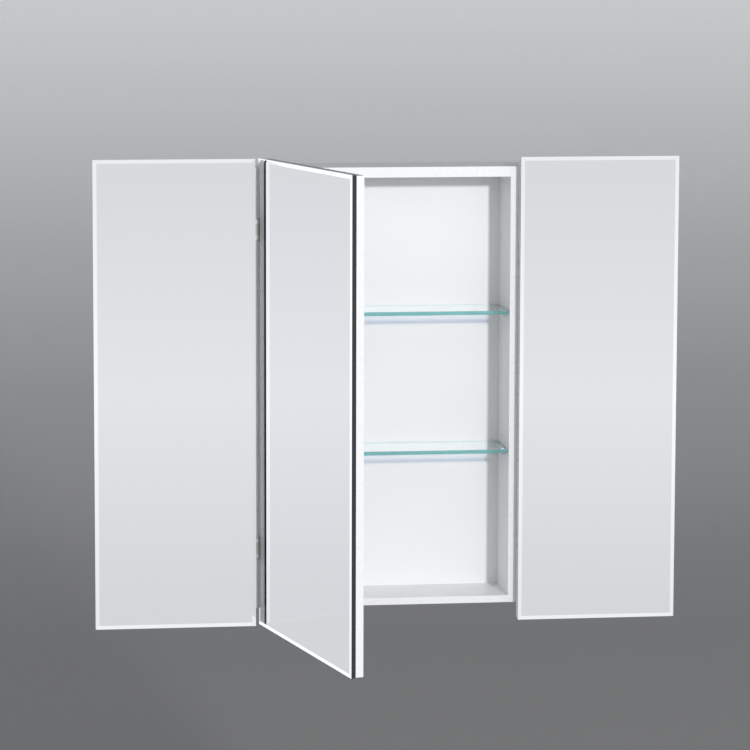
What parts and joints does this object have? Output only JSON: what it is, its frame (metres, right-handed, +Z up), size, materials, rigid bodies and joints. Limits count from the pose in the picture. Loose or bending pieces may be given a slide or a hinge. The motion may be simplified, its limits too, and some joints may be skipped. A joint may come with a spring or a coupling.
{
  "type": "mirrored wall cabinet",
  "caption": "White wall cabinet with mirrored swinging doors, the centre one open on glass shelves.",
  "frame": {"origin": "centre of the four wall screws, in the plane of the wall at the cabinet's back", "axes": "+X along the width to the right as seen from the front, +Y into the wall, +Z up; the doors face -Y"},
  "size_m": [0.914, 0.5046, 0.73],
  "materials": {
    "white_board": "satin",
    "rail_board": "matte",
    "screw_steel": "satin",
    "pin_steel": "satin",
    "hinge_steel": "satin",
    "shelf_glass": "gloss",
    "mirror_glass": "gloss",
    "dark_backing": "matte",
    "bumper_rubber": "satin"
  },
  "bodies": {
    "cabinet": {"top_panel": "white_board", "bottom_panel": "white_board", "left_side_panel": "white_board", "right_side_panel": "white_board", "left_partition": "white_board", "right_partition": "white_board", "back_panel": "white_board", "upper_wall_rail": "rail_board", "lower_wall_rail": "rail_board", "carcass_screws": "screw_steel", "rail_screws": "screw_steel", "back_panel_screws": "screw_steel", "shelf_pins": "pin_steel", "left_lower_shelf": "shelf_glass", "left_upper_shelf": "shelf_glass", "centre_lower_shelf": "shelf_glass", "centre_upper_shelf": "shelf_glass", "right_lower_shelf": "shelf_glass", "right_upper_shelf": "shelf_glass", "left_hinge_brackets": "hinge_steel", "centre_hinge_brackets": "hinge_steel", "right_hinge_brackets": "hinge_steel", "hinge_bracket_screws": "screw_steel"},
    "left_door": {"left_mirror": "mirror_glass", "left_mirror_backing": "dark_backing", "left_door_board": "white_board", "left_hinge_leaves": "hinge_steel", "left_hinge_pins": "pin_steel", "left_leaf_screws": "screw_steel", "left_bumpers": "bumper_rubber"},
    "centre_door": {"centre_mirror": "mirror_glass", "centre_mirror_backing": "dark_backing", "centre_door_board": "white_board", "centre_hinge_leaves": "hinge_steel", "centre_hinge_pins": "pin_steel", "centre_leaf_screws": "screw_steel", "centre_bumpers": "bumper_rubber"},
    "right_door": {"right_mirror": "mirror_glass", "right_mirror_backing": "dark_backing", "right_door_board": "white_board", "right_hinge_leaves": "hinge_steel", "right_hinge_pins": "pin_steel", "right_leaf_screws": "screw_steel", "right_bumpers": "bumper_rubber"}
  },
  "joints": [
    {"name": "left_door_hinge", "type": "hinge", "parent": "cabinet", "child": "left_door", "pos_m": [-0.448, -0.125, 0], "axis": [0, 0, -1], "range_deg": [0, 100]},
    {"name": "centre_door_hinge", "type": "hinge", "parent": "cabinet", "child": "centre_door", "pos_m": [-0.19, -0.125, 0], "axis": [0, 0, -1], "range_deg": [-76, 24]},
    {"name": "right_door_hinge", "type": "hinge", "parent": "cabinet", "child": "right_door", "pos_m": [0.448, -0.125, 0], "axis": [0, 0, 1], "range_deg": [0, 100]}
  ]
}
